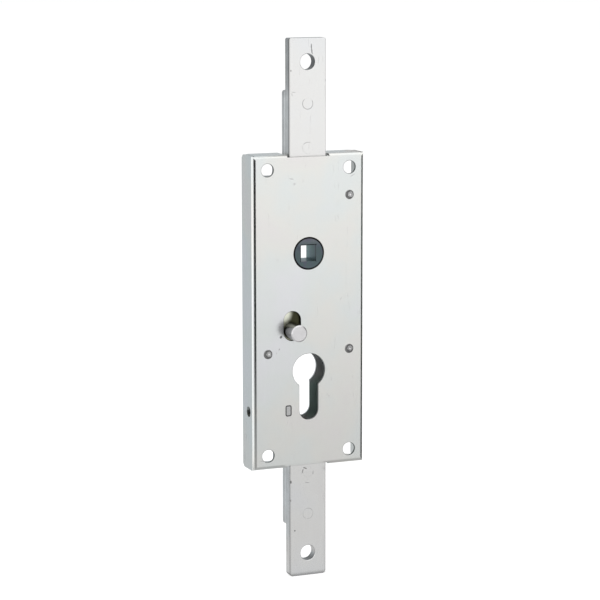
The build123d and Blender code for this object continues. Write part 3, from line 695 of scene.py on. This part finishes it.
def reflection_card(name, shape, location, tones, reach):
    """A card that only reflections see, toned by the distance from its own middle."""
    mesh = bpy.data.meshes.new(name)
    shape.to_mesh(mesh)
    shape.free()
    paint = bpy.data.materials.new(name)
    paint.use_nodes = True
    tree = paint.node_tree
    shader = tree.nodes["Principled BSDF"]
    shader.inputs["Base Color"].default_value = (0.0, 0.0, 0.0, 1.0)
    shader.inputs["Specular IOR Level"].default_value = 0.0
    shader.inputs["Emission Strength"].default_value = 1.0
    away = place(tree, "ShaderNodeVectorMath", operation="LENGTH")
    tree.links.new(place(tree, "ShaderNodeTexCoord").outputs["Object"], away.inputs[0])
    share = math_node(tree, "DIVIDE", away.outputs["Value"], reach)
    tree.links.new(ramp(tree, share, tones), shader.inputs["Emission Color"])
    mesh.materials.append(paint)
    card = bpy.data.objects.new(name, mesh)
    card.location = location
    bpy.context.scene.collection.objects.link(card)
    card.visible_camera = False
    card.visible_diffuse = False
    card.visible_shadow = False
    card.visible_transmission = False
    return card


def flat_card(width, height):
    """A flat rectangle that lies level until the card is aimed."""
    shape = bmesh.new()
    bmesh.ops.create_grid(shape, x_segments=1, y_segments=1, size=0.5)
    bmesh.ops.scale(shape, vec=(width, height, 1.0), verts=shape.verts)
    return shape


KEY_LAMP_PLACE = Vector((-0.9, -1.3, 1.5))
KEY_LAMP_POWER = 11.0
LEFT_LAMP_PLACE = Vector((-1.3, 0.55, 0.25))
LEFT_LAMP_POWER = 7.0
lock_middle = (cad_low + cad_high) / 2
soft_lamp("key_lamp", KEY_LAMP_PLACE, 1.2, 0.9, KEY_LAMP_POWER, lock_middle)
soft_lamp("left_lamp", LEFT_LAMP_PLACE, 0.7, 1.2, LEFT_LAMP_POWER, lock_middle)

CARD_RADIUS = 2.0
CARD_LIFT = 0.1 * MM
floor_tones = [(0.0, grey(0.68)), (0.15, grey(0.70)), (0.28, grey(0.775)), (0.53, grey(0.92)),
               (0.9, grey(1.0))]
reflection_card("graded_floor_card", disc(CARD_RADIUS), (0.0, 0.0, floor_z + CARD_LIFT), floor_tones,
                CARD_RADIUS)


def even(tone):
    """The tones of a card that is the same all over."""
    return [(0.0, tone), (1.0, tone)]


def plain_card(name, width, height, location, at, tone):
    """A reflection card of one tone, facing a point."""
    aim(reflection_card(name, flat_card(width, height), location, even(tone), 1.0), Vector(at))


plain_card("grey_side_card", 0.22, 0.36, (-0.06, 0.07, -0.01), (-0.06, 0.0, -0.01), (0.55, 0.58, 0.60))
plain_card("white_left_card", 0.20, 0.33, (-0.22, 0.03, 0.002), (-0.03, 0.0, 0.002), grey(1.2))
plain_card("grey_top_card", 0.60, 0.24, (0.18, 0.30, 0.19), (0.0, 0.0, 0.05), grey(0.47))
plain_card("white_overhead_card", 0.6, 0.6, (0.20, -0.10, 0.60), (0.20, -0.10, 0.0), grey(1.2))


def edge_strip(name, width, height, location, at, tones):
    """A narrow card that hangs beside an edge of the tray, toned from its top end down."""
    shape = flat_card(width, height)
    bmesh.ops.translate(shape, vec=(0.0, -height / 2, 0.0), verts=shape.verts)
    aim(reflection_card(name, shape, location, tones, height), Vector(at))


STRIP_TOP = 48.8 * MM
STRIP_HEIGHT = 158.0 * MM
LEFT_STRIP_WIDTH = 4.2 * MM
LEFT_STRIP_PLACE = (-30.1 * MM, -2.2 * MM, STRIP_TOP)
RIGHT_STRIP_WIDTH = 10.0 * MM
RIGHT_STRIP_PLACE = (38.0 * MM, -2.0 * MM, STRIP_TOP)
edge_strip("dark_left_strip", LEFT_STRIP_WIDTH, STRIP_HEIGHT, LEFT_STRIP_PLACE,
           (LEFT_STRIP_PLACE[0], 0.0, STRIP_TOP),
           [(0.0, grey(0.020)), (0.50, (0.020, 0.026, 0.024)), (0.65, grey(0.07)), (0.80, grey(0.20)),
            (0.95, grey(0.34)), (1.0, grey(0.36))])
edge_strip("dark_right_strip", RIGHT_STRIP_WIDTH, STRIP_HEIGHT, RIGHT_STRIP_PLACE,
           (30.0 * MM, RIGHT_STRIP_PLACE[1], STRIP_TOP), even(grey(0.03)))

UNDER_CARD_HEIGHT = 8.5 * MM
UNDER_CARD_DEPTH = -1.75 * MM
UNDER_CARD_LEVEL = -112.0 * MM
for side, across, width in (("left", -35.5 * MM, 50.0 * MM), ("right", 45.5 * MM, 70.0 * MM)):
    reflection_card(f"grey_under_card_{side}", flat_card(width, UNDER_CARD_HEIGHT),
                    (across, UNDER_CARD_DEPTH, UNDER_CARD_LEVEL), even(grey(0.46)), 1.0)
reflection_card("grey_foot_card", flat_card(24.0 * MM, 10.0 * MM),
                (0.0, 3.0 * MM, floor_z + 3 * CARD_LIFT), even(grey(0.38)), 1.0)

# Camera: a long lens a little above the hub, from the left. Its place, turn and focal length
# were fitted to the corners, holes and edges of the lock in the photograph.

CAMERA_AZIMUTH = math.radians(-22.321)
CAMERA_ELEVATION = math.radians(9.368)
CAMERA_ROLL = math.radians(-0.059)
CAMERA_DISTANCE = 1117.1 * MM
CAMERA_TARGET = Vector((-4.777, 0.0, -23.119)) * MM
FOCAL_PIXELS = 2248.655
IMAGE_PIXELS = 600
SENSOR_WIDTH = 36.0

back = Vector((
    math.sin(CAMERA_AZIMUTH) * math.cos(CAMERA_ELEVATION),
    -math.cos(CAMERA_AZIMUTH) * math.cos(CAMERA_ELEVATION),
    math.sin(CAMERA_ELEVATION),
))
lens = bpy.data.cameras.new("camera")
lens.sensor_width = SENSOR_WIDTH
lens.lens = FOCAL_PIXELS / IMAGE_PIXELS * SENSOR_WIDTH
lens.clip_start, lens.clip_end = 0.01, 100.0
camera = bpy.data.objects.new("camera", lens)
camera.location = CAMERA_TARGET + back * CAMERA_DISTANCE
turn = (-back).to_track_quat("-Z", "Y") @ Matrix.Rotation(CAMERA_ROLL, 3, "Z").to_quaternion()
camera.rotation_euler = turn.to_euler()
bpy.context.scene.collection.objects.link(camera)
bpy.context.scene.camera = camera
bpy.context.scene.view_settings.view_transform = "Standard"
